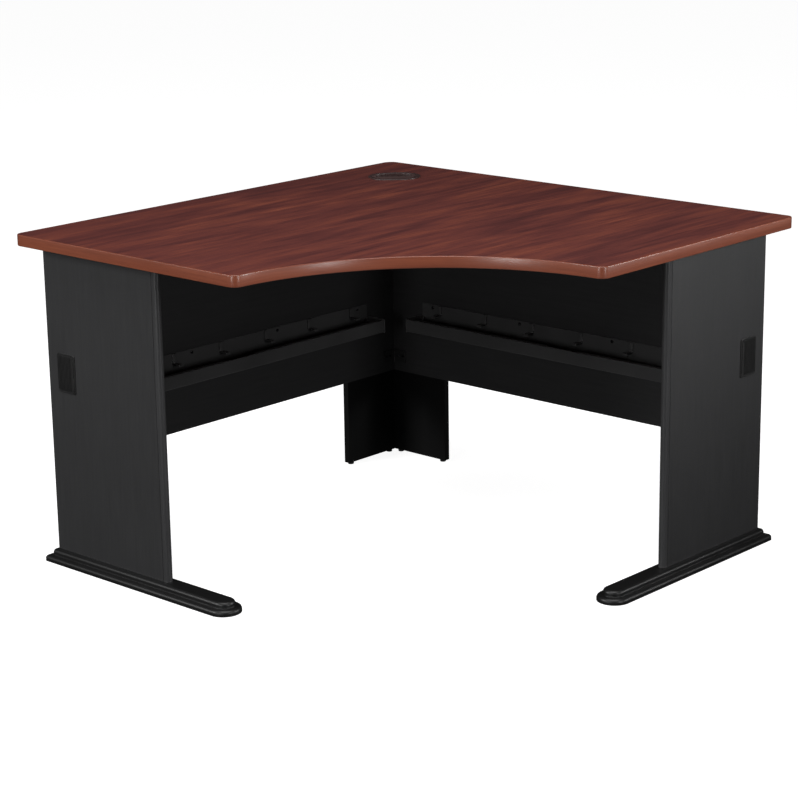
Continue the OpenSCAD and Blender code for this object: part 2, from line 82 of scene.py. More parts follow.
def new_group(name, inputs, outputs):
    """A node group with named sockets: its tree, its input node's outputs and its output node's inputs."""
    tree = bpy.data.node_groups.new(name, "ShaderNodeTree")
    for title, value in inputs.items():
        kind = "NodeSocketVector" if isinstance(value, tuple) else "NodeSocketFloat"
        socket = tree.interface.new_socket(title, in_out="INPUT", socket_type=kind)
        socket.default_value = value
    for title in outputs:
        tree.interface.new_socket(title, in_out="OUTPUT", socket_type="NodeSocketFloat")
    return tree, tree.nodes.new("NodeGroupInput").outputs, tree.nodes.new("NodeGroupOutput").inputs


def add_group(tree, group, sockets):
    """The outputs of a group placed in a material with that material's own values."""
    return add_node(tree, "Group", sockets, node_tree=group).outputs


def wood_figure_group():
    """Wood figure whose grain runs along the vector's Y: noise stretched to Across features a metre over
    the grain and Along features a metre with it. Figure is broad streaks, plus finer ones three and
    fourteen times as dense. Pores are the peaks of short dashes, thirty-four times as dense."""
    tree, given, made = new_group(
        "wood_figure",
        {"Vector": (0.0, 0.0, 0.0), "Along": 3.5, "Across": 28.0, "Wobble": 0.8},
        ["Figure", "Pores"],
    )
    stretch = add_node(tree, "CombineXYZ", {"X": given["Across"], "Y": given["Along"], "Z": given["Across"]})
    place = add_node(tree, "VectorMath", {0: given["Vector"], 1: stretch.outputs[0]}, operation="MULTIPLY")

    def layer(scale, detail, wobble):
        """Noise on the stretched vector, made denser by scale."""
        denser = add_node(tree, "VectorMath", {0: place.outputs[0], 1: scale}, operation="MULTIPLY")
        noise = add_node(
            tree, "TexNoise",
            {
                "Vector": denser.outputs[0], "Scale": 1.0, "Detail": detail,
                "Roughness": 0.55, "Distortion": wobble,
            },
        )
        return noise.outputs["Fac"]

    broad = layer((1.0, 1.0, 1.0), 2.0, given["Wobble"])
    streaks = layer((3.1, 1.9, 3.1), 4.0, 0.4)
    lines = layer((14.0, 3.2, 14.0), 2.0, 0.0)
    dashes = layer((34.0, 7.0, 34.0), 1.0, 0.0)
    first = add_node(tree, "Mix", {0: 0.38, 2: broad, 3: streaks})
    second = add_node(tree, "Mix", {0: 0.28, 2: first.outputs[0], 3: lines})
    pores = add_node(tree, "MapRange", {"Value": dashes, "From Min": 0.58, "From Max": 0.70})
    tree.links.new(second.outputs[0], made["Figure"])
    tree.links.new(pores.outputs[0], made["Pores"])
    return tree


def handling_group():
    """Roughness that wanders round Base by Amount, as on a face that has been wiped and touched: broad
    noise of 5 features a metre, mixed with smears of 26 features a metre."""
    tree, given, made = new_group(
        "handling", {"Vector": (0.0, 0.0, 0.0), "Base": 0.4, "Amount": 0.08}, ["Roughness"]
    )
    broad = add_node(tree, "TexNoise", {"Vector": given["Vector"], "Scale": 5.0, "Detail": 2.0})
    smears = add_node(
        tree, "TexNoise", {"Vector": given["Vector"], "Scale": 26.0, "Detail": 3.0, "Distortion": 1.2}
    )
    mixed = add_node(tree, "Mix", {0: 0.4, 2: broad.outputs["Fac"], 3: smears.outputs["Fac"]})
    centred = add_node(tree, "Math", {0: mixed.outputs[0], 1: 0.5}, operation="SUBTRACT")
    spread = add_node(tree, "Math", {0: given["Amount"], 1: 2.0}, operation="MULTIPLY")
    rough = add_node(
        tree, "Math", {0: centred.outputs[0], 1: spread.outputs[0], 2: given["Base"]},
        operation="MULTIPLY_ADD",
    )
    tree.links.new(rough.outputs[0], made["Roughness"])
    return tree


wood_figure = wood_figure_group()
handling = handling_group()


def ramp(tree, value, stops):
    """Colours along a value: stops is a list of (place, (red, green, blue))."""
    node = add_node(tree, "ValToRGB", {"Fac": value})
    elements = node.color_ramp.elements
    while len(elements) < len(stops):
        elements.new(0.5)
    for element, (place, colour) in zip(elements, stops):
        element.position = place
        element.color = (*colour, 1.0)
    return node.outputs["Color"]


def coordinates(tree, turn=(0.0, 0.0, 0.0), by_uv=False):
    """The piece's own coordinates in metres, or its UV map, turned so that a grain runs the right way."""
    source = add_node(tree, "TexCoord").outputs["UV" if by_uv else "Object"]
    return add_node(tree, "Mapping", {"Vector": source, "Rotation": turn}).outputs[0]


def new_material(name, **constants):
    """A material and its Principled shader. Constants are set on the shader's own sockets."""
    material = bpy.data.materials.new(name)
    material.use_nodes = True
    shader = material.node_tree.nodes["Principled BSDF"]
    for key, value in constants.items():
        shader.inputs[key.replace("_", " ")].default_value = value
    return material, material.node_tree, shader


def bump(tree, shader, height, distance):
    """Feeds a height, in metres from 0 to distance, to the shader's normal."""
    node = add_node(tree, "Bump", {"Height": height, "Distance": distance, "Strength": 1.0})
    tree.links.new(node.outputs[0], shader.inputs["Normal"])


pore_ink = 0.45
pore_shade = 0.55


def laminate(name, stops, rough, grain, turn=(0.0, 0.0, 0.0), by_uv=False, pore=0.00004, **constants):
    """Printed laminate: a wood figure coloured by stops with darker pores, pressed pore metres deep into a
    wiped satin face. grain is (features a metre along it, across it, wobble)."""
    material, tree, shader = new_material(name, **constants)
    place = coordinates(tree, turn, by_uv)
    along, across, wobble = grain
    figure = add_group(
        tree, wood_figure, {"Vector": place, "Along": along, "Across": across, "Wobble": wobble}
    )
    wiped = add_group(tree, handling, {"Vector": place, "Base": rough, "Amount": 0.06})
    ink = add_node(tree, "Math", {0: figure["Pores"], 1: pore_ink}, operation="MULTIPLY")
    darkest = stops[0][1]
    dark = (*(pore_shade * c for c in darkest), 1.0)
    printed = add_node(
        tree, "Mix", {0: ink.outputs[0], 6: ramp(tree, figure["Figure"], stops), 7: dark},
        data_type="RGBA",
    )
    tree.links.new(printed.outputs[2], shader.inputs["Base Color"])
    tree.links.new(wiped["Roughness"], shader.inputs["Roughness"])
    pressed = add_node(tree, "Math", {0: 1.0, 1: figure["Pores"]}, operation="SUBTRACT")
    bump(tree, shader, pressed.outputs[0], pore)
    return material


def finish_node(node, material):
    """Gives a CAD node's own mesh the material."""
    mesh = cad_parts[node].data
    mesh.materials.clear()
    mesh.materials.append(material)


cherry_stops = [
    (0.32, (0.060, 0.016, 0.016)),
    (0.42, (0.090, 0.022, 0.020)),
    (0.50, (0.126, 0.031, 0.025)),
    (0.58, (0.172, 0.043, 0.028)),
    (0.68, (0.245, 0.067, 0.037)),
]
cherry = laminate("cherry_laminate", cherry_stops, 0.44, (2.4, 19.0, 0.7))
finish_node("worktop", cherry)

# ---- Edge band -----------------------------------------------------------------
# A 2 mm thermoplastic strip, a shade lighter than the top, glued round the board.
# Its two outer arrises are rounded over by the trimming cutter, and its grain
# follows the edge.

band_low, band_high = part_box("edge_band")
top_z = band_high.z
under_top = band_low.z
half = cad_high.x
desk_size = 2 * half
band_t = cad_high.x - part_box("worktop")[1].x
band_arris = 0.0018
wing_depth = 0.686
arc_r = desk_size - wing_depth
front_corner_r = 0.020
rear_corner_r = 0.025
end_corner_r = 0.020


def carried(arcs, profile, step=6.0):
    """A profile carried round a closed outline, as a grid with one row for each profile point. An arc is
    (centre x, centre y, radius, first angle, last angle); straight lines join the arcs, and a negative
    radius is a hollow arc. A row is the outline moved inwards by the profile point's inset, at its height:
    centre + |radius - inset| along each angle. Angles are in radians and step is in degrees."""
    runs = []
    for x, y, radius, first, last in arcs:
        count = max(2, math.ceil(abs(last - first) / math.radians(step)) + 1)
        angle = np.linspace(first, last, count)
        same = np.ones(count)
        runs.append(np.stack([x * same, y * same, radius * same, np.cos(angle), np.sin(angle)], 1))
    points = np.concatenate(runs + [runs[0][:1]])
    profile = np.array(profile, float)
    reach = np.abs(points[None, :, 2] - profile[:, :1])
    x = points[None, :, 0] + reach * points[None, :, 3]
    y = points[None, :, 1] + reach * points[None, :, 4]
    return np.stack([x, y, np.broadcast_to(profile[:, 1:], x.shape)], -1)


def quarter(inset, height, radius, first, last, count=5):
    """Profile points on an arc round (inset, height): 0 degrees is the outer side, and 90 the top."""
    angle = np.radians(np.linspace(first, last, count))
    return np.stack([inset - radius * np.cos(angle), height + radius * np.sin(angle)], 1).tolist()


def on_wing(points, side):
    """Wing coordinates to the desk's: the right wing is (u - half, half - v, z), and the left wing mirrors it
    across the diagonal, (v - half, half - u, z)."""
    u, v, z = np.moveaxis(points, -1, 0)
    a, b = (u, v) if side == "right" else (v, u)
    return np.stack([a - half, half - b, z], -1)


def place_piece(name, mesh, material, body, nodes):
    """The finished mesh as an object that rides on its body in place of its CAD nodes."""
    mesh.materials.append(material)
    piece = bpy.data.objects.new(name, mesh)
    bpy.context.scene.collection.objects.link(piece)
    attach(piece, body)
    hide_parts(*nodes)
    return piece


def make_piece(name, shells, material, body, nodes, crease=38.0, uv=None):
    """One object from shells, each a grid of points (rows, columns, 3) whose neighbours form quads. A grid
    that wraps round is closed by flat faces where its first and last rows differ. Doubles are merged, faces
    are turned outwards, and edges sharper than crease degrees stay crisp. uv is the (rows, columns, 2) grid
    of a piece of one shell."""
    corners, faces, at = [], [], 0
    for grid in shells:
        rows, columns = grid.shape[:2]
        index = at + np.arange(rows * columns).reshape(rows, columns)
        quads = np.stack([index[:-1, :-1], index[:-1, 1:], index[1:, 1:], index[1:, :-1]], -1)
        faces += quads.reshape(-1, 4).tolist()
        if np.allclose(grid[:, 0], grid[:, -1]) and not np.allclose(grid[0], grid[-1]):
            faces += [index[0, :-1].tolist(), index[-1, :-1].tolist()]
        corners.append(grid.reshape(-1, 3))
        at += rows * columns
    mesh = bpy.data.meshes.new(name)
    mesh.from_pydata(np.concatenate(corners).tolist(), [], faces)
    if uv is not None:
        layer = mesh.uv_layers.new(name="follow")
        at_corners = uv.reshape(-1, 2)[np.concatenate(faces)]
        layer.data.foreach_set("uv", at_corners.astype(np.float32).ravel())
    work = bmesh.new()
    work.from_mesh(mesh)
    bmesh.ops.remove_doubles(work, verts=work.verts, dist=1e-6)
    bmesh.ops.recalc_face_normals(work, faces=work.faces)
    work.to_mesh(mesh)
    work.free()
    mesh.shade_smooth()
    mesh.set_sharp_from_angle(angle=math.radians(crease))
    return place_piece(name, mesh, material, body, nodes)


# The outline runs anticlockwise from the rear corner: the right wing's wall side,
# its end, the front corner, the hollow front arc and back along the left wing.
# A front corner's arc meets the hollow arc after turning through lean.
rise = math.sqrt((arc_r + front_corner_r) ** 2 - front_corner_r**2)
lean = math.atan2(rise, front_corner_r)
quarter_turn = math.pi / 2
far = desk_size
top_arcs = [
    (rear_corner_r, rear_corner_r, rear_corner_r, math.pi, 3 * quarter_turn),
    (far - end_corner_r, end_corner_r, end_corner_r, -quarter_turn, 0.0),
    (far - front_corner_r, far - rise, front_corner_r, 0.0, lean),
    (far, far, -arc_r, lean - math.pi, -quarter_turn - lean),
    (far - rise, far - front_corner_r, front_corner_r, quarter_turn - lean, quarter_turn),
    (end_corner_r, far - end_corner_r, end_corner_r, quarter_turn, math.pi),
]
band_profile = (
    [(band_t, under_top)]
    + quarter(band_arris, under_top + band_arris, band_arris, -90, 0)
    + quarter(band_arris, top_z - band_arris, band_arris, 0, 90)
    + [(band_t, top_z), (band_t, under_top)]
)
band_grid = carried(top_arcs, band_profile, step=1.5)

# The band's UV map is in metres: u is the length round the profile, and v the
# length along the outline's first row, so the grain follows the edge.
along_edge = np.linalg.norm(np.diff(band_grid[0], axis=0), axis=1)
round_profile = np.linalg.norm(np.diff(band_grid, axis=0), axis=2)
band_u = np.pad(np.cumsum(round_profile, 0), ((1, 0), (0, 0)))
band_v = np.broadcast_to(np.pad(np.cumsum(along_edge), (1, 0)), band_u.shape)
band_uv = np.stack([band_u, band_v], -1)
edging_stops = [
    (0.32, (0.165, 0.044, 0.023)),
    (0.50, (0.215, 0.058, 0.030)),
    (0.68, (0.280, 0.082, 0.041)),
]
edging = laminate(
    "cherry_edging", edging_stops, 0.30, (2.5, 60.0, 0.5), by_uv=True, pore=0.00001,
    Specular_IOR_Level=0.75,
)
make_piece(
    "edge_band_strip", [on_wing(band_grid, "right")],
    edging, "desk", ["edge_band"], uv=band_uv,
)

# ---- Cable grommet -------------------------------------------------------------
# A brown-black moulded sleeve dropped into a slotted hole in the rear corner, with
# a rounded flange. Its loose lid lies on a ledge inside, and has a cable slot
# towards the corner and a finger notch at each end. The lid is coloured lighter
# than the sleeve as a painted reflection of the bright surroundings.


def moulded_skin_group():
    """The fine spark-eroded skin of a moulding: Grain cells a metre, softened by noise about a third as
    dense. Cloud is broad noise of 9 features a metre."""
    tree, given, made = new_group(
        "moulded_skin", {"Vector": (0.0, 0.0, 0.0), "Grain": 1400.0}, ["Height", "Cloud"]
    )
    cells = add_node(tree, "TexVoronoi", {"Vector": given["Vector"], "Scale": given["Grain"]})
    coarse = add_node(tree, "Math", {0: given["Grain"], 1: 0.35}, operation="MULTIPLY")
    soft = add_node(
        tree, "TexNoise", {"Vector": given["Vector"], "Scale": coarse.outputs[0], "Detail": 2.0}
    )
    height = add_node(tree, "Mix", {0: 0.5, 2: cells.outputs["Distance"], 3: soft.outputs["Fac"]})
    cloud = add_node(tree, "TexNoise", {"Vector": given["Vector"], "Scale": 9.0, "Detail": 3.0})
    tree.links.new(height.outputs[0], made["Height"])
    tree.links.new(cloud.outputs["Fac"], made["Cloud"])
    return tree


moulded_skin = moulded_skin_group()


def moulding(name, dark, light, rough, relief, grain=1400.0):
    """Moulded plastic: two close shades clouded together, a wiped gloss and a skin relief metres deep."""
    material, tree, shader = new_material(name)
    place = coordinates(tree)
    skin = add_group(tree, moulded_skin, {"Vector": place, "Grain": grain})
    wiped = add_group(tree, handling, {"Vector": place, "Base": rough, "Amount": 0.07})
    tree.links.new(ramp(tree, skin["Cloud"], [(0.35, dark), (0.65, light)]), shader.inputs["Base Color"])
    tree.links.new(wiped["Roughness"], shader.inputs["Roughness"])
    bump(tree, shader, skin["Height"], relief)
    return material


def rounded(corners):
    """Arcs for an anticlockwise polygon with rounded corners, each (x, y, radius). An arc's centre is on
    the corner's bisector, radius / sin(half the angle) from it, and a hollow corner's radius is negative."""
    table = np.array(corners, float)
    at, radius = table[:, :2], table[:, 2]
    back = np.roll(at, 1, 0) - at
    ahead = np.roll(at, -1, 0) - at
    back /= np.linalg.norm(back, axis=1)[:, None]
    ahead /= np.linalg.norm(ahead, axis=1)[:, None]
    hollow = np.where(ahead[:, 0] * back[:, 1] - ahead[:, 1] * back[:, 0] < 0, -1.0, 1.0)
    open_half = np.arccos(np.clip(np.sum(back * ahead, 1), -1, 1)) / 2
    middle = back + ahead
    middle /= np.linalg.norm(middle, axis=1)[:, None]
    centre = at + middle * (radius / np.sin(open_half))[:, None]
    touch = at + back * (radius / np.tan(open_half))[:, None] - centre
    first = np.arctan2(touch[:, 1], touch[:, 0])
    last = first + hollow * (np.pi - 2 * open_half)
    return np.stack([centre[:, 0], centre[:, 1], hollow * radius, first, last], 1).tolist()


def obround(length, width):
    """Arcs of a slot-shaped outline of that overall length and width, centred."""
    shift = (length - width) / 2
    return [
        (shift, 0.0, width / 2, -quarter_turn, quarter_turn),
        (-shift, 0.0, width / 2, quarter_turn, 3 * quarter_turn),
    ]


def at_grommet(grid):
    """Grommet coordinates to the desk's: x along its length, y towards the rear corner, turned 45 degrees."""
    turned_by = math.radians(45)
    x, y, z = np.moveaxis(grid, -1, 0)
    along = x * math.cos(turned_by) - y * math.sin(turned_by)
    over = x * math.sin(turned_by) + y * math.cos(turned_by)
    return np.stack([along - half + grommet_at, over + half - grommet_at, z], -1)


grommet_at = 0.165
grommet_l = 0.127
grommet_w = 0.100
grommet_rim = 0.007
sleeve_wall = 0.002
sleeve_slip = 0.0003
ledge = 0.003
liner_low, liner_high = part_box("grommet_liner")
ledge_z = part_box("grommet_lid")[0].z
sleeve_in = grommet_rim + sleeve_slip
well_in = sleeve_in + sleeve_wall
ledge_in = well_in + ledge
rim_round = 0.0012
inner_round = 0.0006
liner_profile = (
    [(sleeve_in, liner_low.z), (sleeve_in, top_z), (0.0, top_z)]
    + quarter(rim_round, liner_high.z - rim_round, rim_round, 0, 90)
    + quarter(well_in - inner_round, liner_high.z - inner_round, inner_round, 90, 180)
    + [(well_in, ledge_z), (ledge_in, ledge_z), (ledge_in, liner_low.z), (sleeve_in, liner_low.z)]
)
brown_black = moulding("grommet_trim", (0.040, 0.022, 0.021), (0.050, 0.028, 0.027), 0.36, 0.00003)
# The lid's lighter brown is a painted reflection, not the moulding's own colour.
lid_painted_reflection = moulding("grommet_lid", (0.066, 0.038, 0.036), (0.078, 0.045, 0.043), 0.40, 0.00003)
make_piece(
    "grommet_sleeve", [at_grommet(carried(obround(grommet_l, grommet_w), liner_profile))],
    brown_black, "desk", ["grommet_liner"],
)


def softened(name, node, material, body, arris):
    """A CAD node's own shape with its doubles merged and its arrises rounded to radius arris by a bevel."""
    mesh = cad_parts[node].data.copy()
    mesh.name = name
    work = bmesh.new()
    work.from_mesh(mesh)
    bmesh.ops.remove_doubles(work, verts=work.verts, dist=1e-6)
    bmesh.ops.dissolve_limit(work, angle_limit=math.radians(0.5), verts=work.verts, edges=work.edges)
    work.to_mesh(mesh)
    work.free()
    mesh.shade_smooth()
    mesh.materials.clear()
    piece = place_piece(name, mesh, material, body, [node])
    rounding = piece.modifiers.new("arris", "BEVEL")
    rounding.width = arris
    rounding.segments = 3
    rounding.limit_method = "ANGLE"
    rounding.angle_limit = math.radians(40)
    flat = piece.modifiers.new("flat_faces", "WEIGHTED_NORMAL")
    flat.keep_sharp = True
    return piece


softened("grommet_cap", "grommet_lid", lid_painted_reflection, "grommet_lid", 0.0006)

# ---- End panels ----------------------------------------------------------------
# Two upright 18 mm boards in charcoal laminate, its fine printed grain upright.
# A half-round hardwood-cored nosing, tongued into the front edge, is wrapped in
# the same charcoal film, its colour lightened 1.45 times as a painted highlight
# of the rounded edge, and a fine groove shows where it meets the board.

charcoal_stops = [
    (0.32, (0.0250, 0.0250, 0.0260)),
    (0.50, (0.0305, 0.0305, 0.0316)),
    (0.68, (0.0365, 0.0365, 0.0376)),
]
upright = (quarter_turn, 0.0, 0.0)


def shade(stops, factor):
    """The same colour stops, each colour multiplied by factor."""
    return [(place, tuple(factor * c for c in colour)) for place, colour in stops]


both = ("right", "left")
charcoal_grain = (7.0, 190.0, 0.3)
charcoal_upright = laminate("charcoal_upright", charcoal_stops, 0.46, charcoal_grain, turn=upright)
for side in both:
    finish_node(f"{side}_end_panel", charcoal_upright)


def wing_box(node):
    """(lowest, highest) u, v and z of a right-hand CAD node."""
    low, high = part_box(node)
    return (low.x + half, half - high.y, low.z), (high.x + half, half - low.y, high.z)


def wing_piece(side, title, shells, material, node, rides=False):
    """A piece of one wing from shells in wing coordinates, in place of that side's CAD node. It belongs to
    the desk, or with rides to the moving body that has the node's name."""
    cad = f"{side}_{node}"
    return make_piece(
        f"{side}_{title}", [on_wing(grid, side) for grid in shells],
        material, cad if rides else "desk", [cad],
    )


nose_low, nose_high = wing_box("right_panel_nosing")
board_low, board_high = wing_box("right_end_panel")
panel_in, panel_out = board_low[0], board_high[0]
panel_mid = (panel_in + panel_out) / 2
panel_t = panel_out - panel_in
groove = 0.0015
tongue_t = 0.003
nose_arcs = rounded([
    (panel_in, board_high[1], groove),
    (panel_mid - tongue_t / 2, board_high[1], 0.0),
    (panel_mid - tongue_t / 2, nose_low[1], 0.0003),
    (panel_mid + tongue_t / 2, nose_low[1], 0.0003),
    (panel_mid + tongue_t / 2, board_high[1], 0.0),
    (panel_out, board_high[1], groove),
    (panel_out, nose_high[1], 0.0),
    (panel_in, nose_high[1], 0.0),
])[:6]
nose_arcs.append((panel_mid, nose_high[1] - panel_t / 2, panel_t / 2, 0.0, math.pi))
nose_profile = [(0.0, nose_low[2]), (0.0, nose_high[2])]
nosing = carried(nose_arcs, nose_profile, step=4)
# The nosing's colour is the charcoal lightened 1.45 times as a painted highlight.
charcoal_edging = laminate(
    "charcoal_edging", shade(charcoal_stops, 1.45), 0.33, (5.0, 150.0, 0.3), turn=upright, pore=0.00001
)
for side in both:
    wing_piece(side, "round_nosing", [nosing], charcoal_edging, "panel_nosing")

# ---- Cable covers --------------------------------------------------------------
# A moulded black frame pressed through each end panel, with a bezel that stands
# 2 mm proud. Its cover is a ribbed plate with a smooth upright grip bar at the
# front, and clips into the frame.

trim = moulding("black_trim", (0.0125, 0.0125, 0.0125), (0.0170, 0.0170, 0.0170), 0.40, 0.00003)
frame_low, frame_high = wing_box("right_cover_frame")
plate_low, plate_high = wing_box("right_cable_cover")
cover_v = (frame_low[1] + frame_high[1]) / 2
cover_z = (frame_low[2] + frame_high[2]) / 2
bezel = 0.003
bezel_lap = 0.0015
bezel_round = 0.0009
mouth_round = 0.0005
bezel_lift = 0.0002
bezel_u = frame_high[0]
sleeve_ledge = 0.002
sleeve_by = bezel_lap + sleeve_slip
seat_u = plate_low[0]


def facing_out(grid):
    """A grid carried round an outline in (v, z), its height along u, in wing coordinates round the cover."""
    return np.stack([grid[..., 2], grid[..., 0] + cover_v, grid[..., 1] + cover_z], -1)


def rectangle(width, height, radius):
    """Arcs of a centred rectangle with rounded corners."""
    x, y = width / 2, height / 2
    return rounded([(x, -y, radius), (x, y, radius), (-x, y, radius), (-x, -y, radius)])


frame_r = 0.006
frame_arcs = rectangle(frame_high[1] - frame_low[1], frame_high[2] - frame_low[2], frame_r)
frame_profile = (
    [(sleeve_by, frame_low[0]), (sleeve_by, panel_out), (bezel_lift, panel_out)]
    + quarter(bezel_round, bezel_u - bezel_round, bezel_round, 0, 90)
    + quarter(bezel - mouth_round, bezel_u - mouth_round, mouth_round, 90, 180, 4)
    + [(bezel, seat_u), (bezel + sleeve_ledge, seat_u), (bezel + sleeve_ledge, frame_low[0])]
    + [(sleeve_by, frame_low[0])]
)
frame_shell = facing_out(carried(frame_arcs, frame_profile))


def relief(x, y, height, back):
    """A closed plate on the grid of x by y: its face is at height, its sides drop to back, and row by row the
    back is a flat copy of the same grid."""
    face = np.stack([*np.broadcast_arrays(x[:, None], y[None, :]), height], -1)
    rim = np.pad(face, ((1, 1), (1, 1), (0, 0)), mode="edge")
    rim[[0, -1], :, 2] = back
    rim[:, [0, -1], 2] = back
    under = rim.copy()
    under[..., 2] = back
    return rim, under


plate_w = plate_high[1] - plate_low[1]
plate_h = plate_high[2] - plate_low[2]
plate_face = panel_out + 0.0012
rib_pitch = 0.0044
rib_h = 0.0012
grip_w = 0.007
grip_h = plate_high[0] - plate_face
grip_margin = 0.001
rib_margin = 0.0018
rib_gap = 0.0022
rib_steep = 1.8
end_margin = 0.0015
end_round = 0.0012

# The ribs are a sine wave over the plate's width, clipped to flat tops. The grip
# bar's height is (1 - x^4)^(1/2). Both round down to the plate at their ends.
plate_v = np.linspace(-plate_w / 2, plate_w / 2, 240)
plate_z = np.linspace(-plate_h / 2, plate_h / 2, 60)
end_fade = np.clip((plate_h / 2 - end_margin - np.abs(plate_z)) / end_round, 0, 1)
end_fade = np.sqrt(end_fade * (2 - end_fade))
grip_from = plate_w / 2 - grip_margin - grip_w
rib_zone = (plate_v > rib_margin - plate_w / 2) & (plate_v < grip_from - rib_gap)
wave = np.sin(2 * np.pi * (plate_v + plate_w / 2 - rib_gap) / rib_pitch)
ribs = np.where(rib_zone, np.clip(wave * rib_steep, 0, 1), 0)
over_grip = np.abs((plate_v - grip_from - grip_w / 2) / (grip_w / 2))
grip = np.clip(1 - over_grip**4, 0, 1) ** 0.5
raised = (rib_h * ribs + grip_h * grip)[:, None] * end_fade[None, :]
cover_shells = [facing_out(grid) for grid in relief(plate_v, plate_z, plate_face + raised, seat_u)]
for side in both:
    wing_piece(side, "cover_bezel", [frame_shell], trim, "cover_frame")
    wing_piece(side, "ribbed_cover", cover_shells, trim, "cable_cover", rides=True)

# ---- Modesty panels and corner leg ---------------------------------------------
# A 16 mm charcoal laminate panel closes the back of each wing, its grain lying
# along the wing. Its laminate is the end panels' charcoal darkened to 0.85 as
# painted shade of the kneehole. Two upright boards behind them, in a darker
# laminate, meet in an L and carry the rear corner down to the floor. Their
# black, 0.16 of the charcoal, is partly the boards' own colour and partly
# painted shade of the dim corner.

# The leg boards' black is partly their own colour and partly painted shade of the dim corner.
black_and_shaded_upright = laminate(
    "black_and_shaded_upright", shade(charcoal_stops, 0.16), 0.52, charcoal_grain, turn=upright, Specular_IOR_Level=0.2
)
along_x = (0.0, 0.0, quarter_turn)
along_y = (0.0, 0.0, 0.0)
for side, turn in (("right", along_x), ("left", along_y)):
    # Each modesty panel's laminate is the charcoal darkened to 0.85 as painted shade.
    lying = laminate(f"shaded_charcoal_lying_{side}", shade(charcoal_stops, 0.85), 0.50, charcoal_grain, turn=turn)
    finish_node(f"{side}_modesty_panel", lying)
    finish_node(f"{side}_corner_leg", black_and_shaded_upright)

# ---- Corner leg glides ---------------------------------------------------------
# Black nylon discs with a rounded rim, which carry the corner on the floor. Each
# has a pin that is driven into the lower edge of a leg board, two to a board.


def turned(profile, steps=48):
    """A profile of (radius, height) points turned round the Z axis: (r cos a, r sin a, z)."""
    radius, height = np.array(profile, float).T
    angle = np.linspace(0, 2 * np.pi, steps + 1)
    round_x = radius[:, None] * np.cos(angle)
    round_y = radius[:, None] * np.sin(angle)
    return np.stack([round_x, round_y, np.broadcast_to(height[:, None], round_x.shape)], -1)


def moved(grid, x, y, z=0.0):
    """The grid shifted by x, y and z."""
    return grid + np.array([x, y, z])


def both_wings(shells):
    """Shells in wing coordinates, placed on the right wing and then mirrored on the left one."""
    return [on_wing(grid, side) for side in both for grid in shells]


leg_low, leg_high = wing_box("right_corner_leg")
leg_mid = (leg_low[1] + leg_high[1]) / 2
pin_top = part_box("corner_leg_glides")[1].z
pin_r = 0.0015
glide_h = leg_low[2]
glide_r = 0.0075
glide_rim = 0.002
tread_r = glide_r - glide_rim
rim_turns = np.radians([15, 30, 50, 70, 90])
glide_profile = (
    [(0.0, 0.0), (tread_r, 0.0)]
    + [(tread_r + glide_rim * math.sin(a), glide_rim - glide_rim * math.cos(a)) for a in rim_turns]
    + [(glide_r, glide_h), (pin_r, glide_h), (pin_r, pin_top), (0.0, pin_top)]
)
glides_u = (leg_low[1] + 0.030, leg_high[0] - 0.014)
glides = both_wings([moved(turned(glide_profile), u, leg_mid) for u in glides_u])
pad_black = moulding("black_pad", (0.010, 0.010, 0.010), (0.016, 0.016, 0.016), 0.55, 0.00006, grain=900.0)
make_piece("nylon_glides", glides, pad_black, "desk", ["corner_leg_glides"])

# ---- Corner brackets and screws ------------------------------------------------
# Two pressed black steel angles tie the modesty panels together inside the
# corner, on black pan-head screws. Countersunk zinc-plated screws hold the leg
# boards to the modesty panels. All have a cross recess.


def metal(name, colour, rough, scratch):
    """Plated or cast metal: a cloudy gloss over one shade, with fine wandering scratches scratch metres
    deep."""
    material, tree, shader = new_material(name, Metallic=1.0)
    place = coordinates(tree)
    wiped = add_group(tree, handling, {"Vector": place, "Base": rough, "Amount": 0.10})
    marks = add_group(tree, wood_figure, {"Vector": place, "Along": 60.0, "Across": 900.0, "Wobble": 1.5})
    darker = tuple(0.72 * c for c in colour)
    tree.links.new(ramp(tree, marks["Figure"], [(0.35, darker), (0.65, colour)]), shader.inputs["Base Color"])
    tree.links.new(wiped["Roughness"], shader.inputs["Roughness"])
    bump(tree, shader, marks["Figure"], scratch)
    return material


def painted(name, dark, light, rough, relief):
    """Powder-painted or extruded black: two close shades clouded together with a fine orange-peel skin."""
    return moulding(name, dark, light, rough, relief, grain=700.0)


zinc = metal("zinc_steel", (0.62, 0.63, 0.64), 0.34, 0.00001)
black_steel = painted("black_steel", (0.018, 0.018, 0.018), (0.024, 0.024, 0.024), 0.45, 0.00004)


def driven(radius, crown, drive, reach, sink, shank_r, shank_l, square=4):
    """A screw's head and shank round Z, its seat at height 0. The head is crown (1 - (r/R)^square)^(1/2)
    high, and its drive recess is sink deep: a cross is where the smaller of |x|, |y| is under a quarter of
    reach and the larger is under reach, and a hexagon is where all three |x cos k + y sin k| are under
    reach."""
    r = np.concatenate([np.linspace(0, 1, 15)[:-1] ** 0.9, [0.97, 1.0]]) * radius
    a = np.linspace(0, 2 * np.pi, 49)
    x, y = r[:, None] * np.cos(a), r[:, None] * np.sin(a)
    height = crown * np.sqrt(np.clip(1 - (r / radius) ** square, 0, 1))[:, None] + 0 * x
    soft = radius / 14
    if drive == "cross":
        near, away = np.minimum(np.abs(x), np.abs(y)), np.maximum(np.abs(x), np.abs(y))
        inside = np.clip((reach / 4 - near) / soft, 0, 1) * np.clip((reach - away) / soft, 0, 1)
    else:
        flat = [np.abs(x * math.cos(k) + y * math.sin(k)) for k in np.radians([0, 60, 120])]
        inside = np.clip((reach - np.max(flat, 0)) / soft, 0, 1)
    head = np.stack([x, y, height - sink * inside], -1)
    shank = turned([(shank_r, 0.0), (shank_r, -shank_l * 0.85), (0.0, -shank_l)])
    return np.concatenate([head, shank])


def facing(grid, u, v, z, way):
    """The grid stood on a face across the wing: its Z points along way * v."""
    return np.stack([u + grid[..., 0], v + way * grid[..., 2], z + grid[..., 1]], -1)


